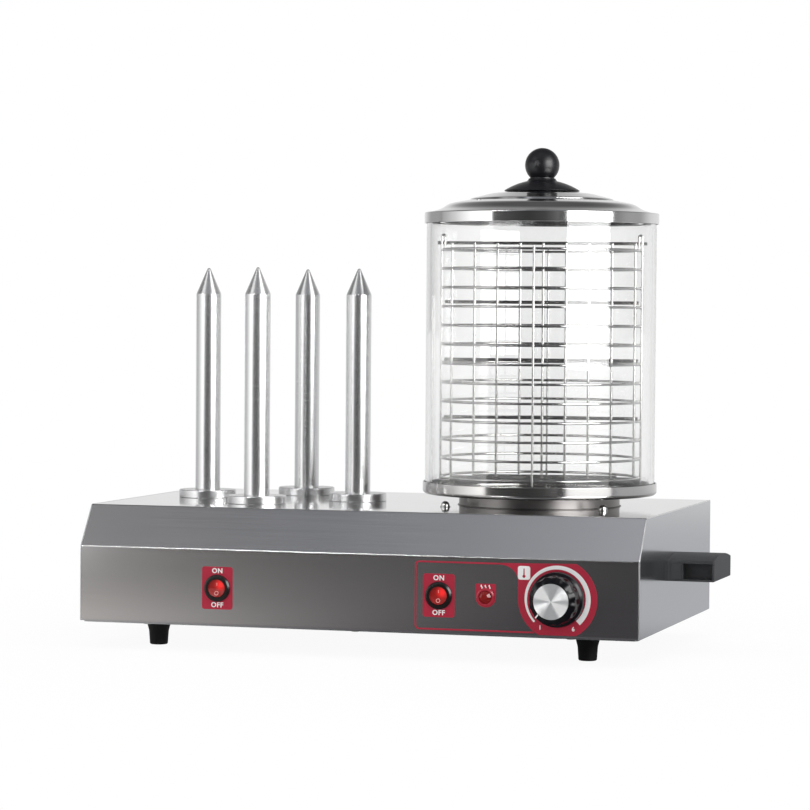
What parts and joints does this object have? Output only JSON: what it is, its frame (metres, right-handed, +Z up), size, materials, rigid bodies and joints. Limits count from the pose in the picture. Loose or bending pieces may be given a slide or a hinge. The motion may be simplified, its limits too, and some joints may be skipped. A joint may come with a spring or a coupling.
{
  "type": "hot dog toaster",
  "caption": "Counter-top hot dog warmer with heated toasting spikes beside a lidded glass steam cylinder and wire basket on a steel base with switches and a thermostat knob.",
  "frame": {"origin": "on the floor, under the middle of the base", "axes": "+X to the right as seen from the controls, -Y towards the controls, +Z up"},
  "size_m": [0.569, 0.349, 0.4328],
  "materials": {
    "brushed_steel": "brushed",
    "galvanised_steel": "satin",
    "polished_steel": "polished",
    "steel_wire": "polished",
    "zinc_fasteners": "satin",
    "rubber_black": "matt",
    "black_plastic": "satin",
    "red_lens": "gloss",
    "glass": "clear",
    "aluminium": "turned",
    "heater_sheath": "heat tinted",
    "pale_plastic": "matt",
    "copper": "bare",
    "label_red": "satin",
    "label_white": "satin",
    "shaft_steel": "turned"
  },
  "bodies": {
    "base": {"housing_wrap": "brushed_steel", "back_panel": "brushed_steel", "side_panel_left": "brushed_steel", "side_panel_right": "brushed_steel", "base_plate": "galvanised_steel", "element_clamp": "galvanised_steel", "heater_collar": "polished_steel", "water_pan": "polished_steel", "base_screws": "zinc_fasteners", "foot_screws": "zinc_fasteners", "foot_nuts": "zinc_fasteners", "handle_screws": "zinc_fasteners", "collar_screws": "zinc_fasteners", "collar_nuts": "zinc_fasteners", "spike_nuts": "zinc_fasteners", "thermostat_screws": "zinc_fasteners", "pan_stud": "zinc_fasteners", "pan_nut": "zinc_fasteners", "earth_stud": "zinc_fasteners", "foot_front_left": "rubber_black", "foot_back_left": "rubber_black", "foot_front_right": "rubber_black", "foot_back_right": "rubber_black", "handle_left": "black_plastic", "handle_right": "black_plastic", "switch_body_left": "black_plastic", "switch_body_right": "black_plastic", "cable_gland": "black_plastic", "gland_nut": "black_plastic", "lamp_lens": "red_lens", "lamp_body": "red_lens", "spike_left": "aluminium", "spike_front": "aluminium", "spike_back": "aluminium", "spike_right": "aluminium", "spike_disc_left": "aluminium", "spike_disc_front": "aluminium", "spike_disc_back": "aluminium", "spike_disc_right": "aluminium", "cartridge_heaters": "heater_sheath", "heating_element": "heater_sheath", "thermostat": "pale_plastic", "dry_run_cutout": "pale_plastic", "terminal_block": "pale_plastic", "sensing_bulb": "copper"},
    "glass": {"glass_cylinder": "glass"},
    "basket": {"basket_rings": "steel_wire", "basket_posts": "steel_wire", "basket_divider": "steel_wire", "basket_floor": "steel_wire"},
    "lid": {"lid": "polished_steel", "lid_ring": "polished_steel", "lid_knob": "black_plastic", "knob_washer": "zinc_fasteners", "knob_screw": "zinc_fasteners"},
    "rocker_left": {"rocker_left": "red_lens"},
    "rocker_right": {"rocker_right": "red_lens"},
    "knob": {"control_knob": "black_plastic", "knob_disc": "aluminium", "thermostat_shaft": "shaft_steel"}
  },
  "joints": [
    {"name": "glass_lift", "type": "slide", "parent": "base", "child": "glass", "axis": [0, 0, 1], "range_m": [0, 0.03]},
    {"name": "basket_lift", "type": "slide", "parent": "glass", "child": "basket", "axis": [0, 0, 1], "range_m": [0, 0.26]},
    {"name": "lid_lift", "type": "slide", "parent": "basket", "child": "lid", "axis": [0, 0, 1], "range_m": [0, 0.06]},
    {"name": "switch_left", "type": "hinge", "parent": "base", "child": "rocker_left", "pos_m": [-0.12, -0.1495, 0.0545], "axis": [1, 0, 0], "range_deg": [0, 14]},
    {"name": "switch_right", "type": "hinge", "parent": "base", "child": "rocker_right", "pos_m": [0.07462, -0.1495, 0.0545], "axis": [1, 0, 0], "range_deg": [0, 14]},
    {"name": "thermostat_turn", "type": "hinge", "parent": "base", "child": "knob", "pos_m": [0.17589, -0.1505, 0.0545], "axis": [0, 1, 0], "range_deg": [0, 270]}
  ]
}
